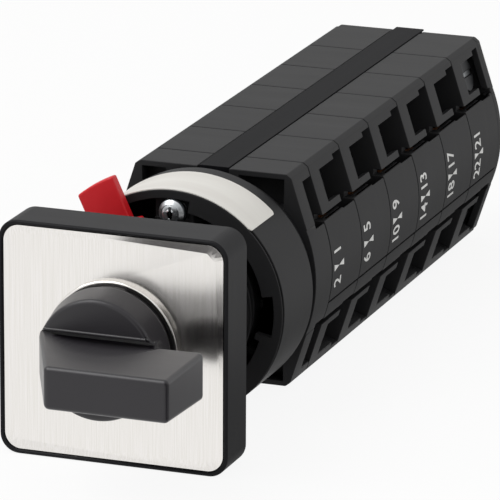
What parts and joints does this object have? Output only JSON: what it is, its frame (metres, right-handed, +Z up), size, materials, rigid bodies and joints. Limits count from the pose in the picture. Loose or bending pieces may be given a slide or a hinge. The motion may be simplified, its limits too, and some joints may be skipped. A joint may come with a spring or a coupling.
{
  "type": "rotary cam changeover switch",
  "caption": "Small rotary cam changeover switch for one round panel hole: square front plate with a finger-grip knob, red latch lever and a long stack of contact modules.",
  "frame": {"origin": "on the knob's turning axis, in the plane where the front plate's rubber seal meets the panel", "axes": "+Y is depth, from the knob to the back of the contact stack; +X is right seen from the knob; +Z is up"},
  "size_m": [0.03, 0.1318, 0.0315],
  "materials": {
    "charcoal_plastic": "moulded black thermoplastic, fine matt texture",
    "insulating_strip": "extruded black plastic strip",
    "knob_plastic": "moulded black plastic, satin",
    "natural_plastic": "moulded natural nylon, satin",
    "red_plastic": "moulded red plastic, satin",
    "black_rubber": "moulded black rubber, matt",
    "brushed_metal": "brushed aluminium, vertical grain",
    "label": "off-white polyester label",
    "copper": "tinned copper alloy strip, satin",
    "dark_zinc": "zinc-plated steel, slightly dull",
    "zinc": "zinc-plated steel",
    "spring_steel": "spring steel wire and strip"
  },
  "bodies": {
    "housing": {"front_frame": "charcoal_plastic", "legend_plate": "brushed_metal", "panel_seal": "black_rubber", "panel_bush": "charcoal_plastic", "ring_nut": "charcoal_plastic", "adapter_drum": "charcoal_plastic", "drum_label": "label", "tie_bolts": "zinc", "tie_nuts": "zinc", "bolt_cover_top": "insulating_strip", "bolt_cover_bottom": "insulating_strip", "detent_housing": "charcoal_plastic", "detent_leaf_left": "spring_steel", "detent_leaf_right": "spring_steel", "back_cover": "charcoal_plastic", "contact_module_1": "charcoal_plastic", "contact_module_2": "charcoal_plastic", "contact_module_3": "charcoal_plastic", "contact_module_4": "charcoal_plastic", "contact_module_5": "charcoal_plastic", "contact_module_6": "charcoal_plastic", "fixed_contacts_1": "copper", "fixed_contacts_2": "copper", "fixed_contacts_3": "copper", "fixed_contacts_4": "copper", "fixed_contacts_5": "copper", "fixed_contacts_6": "copper", "terminal_screws_1": "dark_zinc", "terminal_screws_2": "dark_zinc", "terminal_screws_3": "dark_zinc", "terminal_screws_4": "dark_zinc", "terminal_screws_5": "dark_zinc", "terminal_screws_6": "dark_zinc", "contact_springs_left": "spring_steel", "contact_springs_right": "spring_steel"},
    "rotor": {"knob": "knob_plastic", "drive_shaft": "zinc", "detent_wheel": "natural_plastic", "cam_1": "natural_plastic", "cam_2": "natural_plastic", "cam_3": "natural_plastic", "cam_4": "natural_plastic", "cam_5": "natural_plastic", "cam_6": "natural_plastic"},
    "lever": {"lock_lever": "red_plastic"},
    "contact_left_1": {"contact_bridge_left_1": "copper"},
    "contact_left_2": {"contact_bridge_left_2": "copper"},
    "contact_left_3": {"contact_bridge_left_3": "copper"},
    "contact_left_4": {"contact_bridge_left_4": "copper"},
    "contact_left_5": {"contact_bridge_left_5": "copper"},
    "contact_left_6": {"contact_bridge_left_6": "copper"},
    "contact_right_1": {"contact_bridge_right_1": "copper"},
    "contact_right_2": {"contact_bridge_right_2": "copper"},
    "contact_right_3": {"contact_bridge_right_3": "copper"},
    "contact_right_4": {"contact_bridge_right_4": "copper"},
    "contact_right_5": {"contact_bridge_right_5": "copper"},
    "contact_right_6": {"contact_bridge_right_6": "copper"}
  },
  "joints": [
    {"name": "knob_turn", "type": "hinge", "parent": "housing", "child": "rotor", "pos_m": [0, 0, 0], "axis": [0, -1, 0], "range_deg": [0, 180], "deforming": ["detent_leaf_left", "detent_leaf_right"]},
    {"name": "lever_swing", "type": "hinge", "parent": "housing", "child": "lever", "pos_m": [0, 0.0114, 0], "axis": [0, 1, 0], "range_deg": [0, 22]},
    {"name": "contact_left_1_slide", "type": "slide", "parent": "housing", "child": "contact_left_1", "axis": [-1, 0, 0], "range_m": [0, 0.00105], "deforming": ["contact_springs_left"]},
    {"name": "contact_left_2_slide", "type": "slide", "parent": "housing", "child": "contact_left_2", "axis": [-1, 0, 0], "range_m": [0, 0.00105]},
    {"name": "contact_left_3_slide", "type": "slide", "parent": "housing", "child": "contact_left_3", "axis": [-1, 0, 0], "range_m": [0, 0.00105]},
    {"name": "contact_left_4_slide", "type": "slide", "parent": "housing", "child": "contact_left_4", "axis": [-1, 0, 0], "range_m": [0, 0.00105]},
    {"name": "contact_left_5_slide", "type": "slide", "parent": "housing", "child": "contact_left_5", "axis": [-1, 0, 0], "range_m": [0, 0.00105]},
    {"name": "contact_left_6_slide", "type": "slide", "parent": "housing", "child": "contact_left_6", "axis": [-1, 0, 0], "range_m": [0, 0.00105]},
    {"name": "contact_right_1_slide", "type": "slide", "parent": "housing", "child": "contact_right_1", "axis": [1, 0, 0], "range_m": [-0.00105, 0], "deforming": ["contact_springs_right"]},
    {"name": "contact_right_2_slide", "type": "slide", "parent": "housing", "child": "contact_right_2", "axis": [1, 0, 0], "range_m": [-0.00105, 0]},
    {"name": "contact_right_3_slide", "type": "slide", "parent": "housing", "child": "contact_right_3", "axis": [1, 0, 0], "range_m": [-0.00105, 0]},
    {"name": "contact_right_4_slide", "type": "slide", "parent": "housing", "child": "contact_right_4", "axis": [1, 0, 0], "range_m": [-0.00105, 0]},
    {"name": "contact_right_5_slide", "type": "slide", "parent": "housing", "child": "contact_right_5", "axis": [1, 0, 0], "range_m": [-0.00105, 0]},
    {"name": "contact_right_6_slide", "type": "slide", "parent": "housing", "child": "contact_right_6", "axis": [1, 0, 0], "range_m": [-0.00105, 0]}
  ],
  "couplings": [
    {"joint": "contact_left_1_slide", "follows": "knob_turn", "m_per_rad": 0.0003183},
    {"joint": "contact_left_2_slide", "follows": "knob_turn", "m_per_rad": 0.0003183},
    {"joint": "contact_left_3_slide", "follows": "knob_turn", "m_per_rad": 0.0003183},
    {"joint": "contact_left_4_slide", "follows": "knob_turn", "m_per_rad": 0.0003183},
    {"joint": "contact_left_5_slide", "follows": "knob_turn", "m_per_rad": 0.0003183},
    {"joint": "contact_left_6_slide", "follows": "knob_turn", "m_per_rad": 0.0003183},
    {"joint": "contact_right_1_slide", "follows": "knob_turn", "m_per_rad": -0.0003183},
    {"joint": "contact_right_2_slide", "follows": "knob_turn", "m_per_rad": -0.0003183},
    {"joint": "contact_right_3_slide", "follows": "knob_turn", "m_per_rad": -0.0003183},
    {"joint": "contact_right_4_slide", "follows": "knob_turn", "m_per_rad": -0.0003183},
    {"joint": "contact_right_5_slide", "follows": "knob_turn", "m_per_rad": -0.0003183},
    {"joint": "contact_right_6_slide", "follows": "knob_turn", "m_per_rad": -0.0003183}
  ]
}
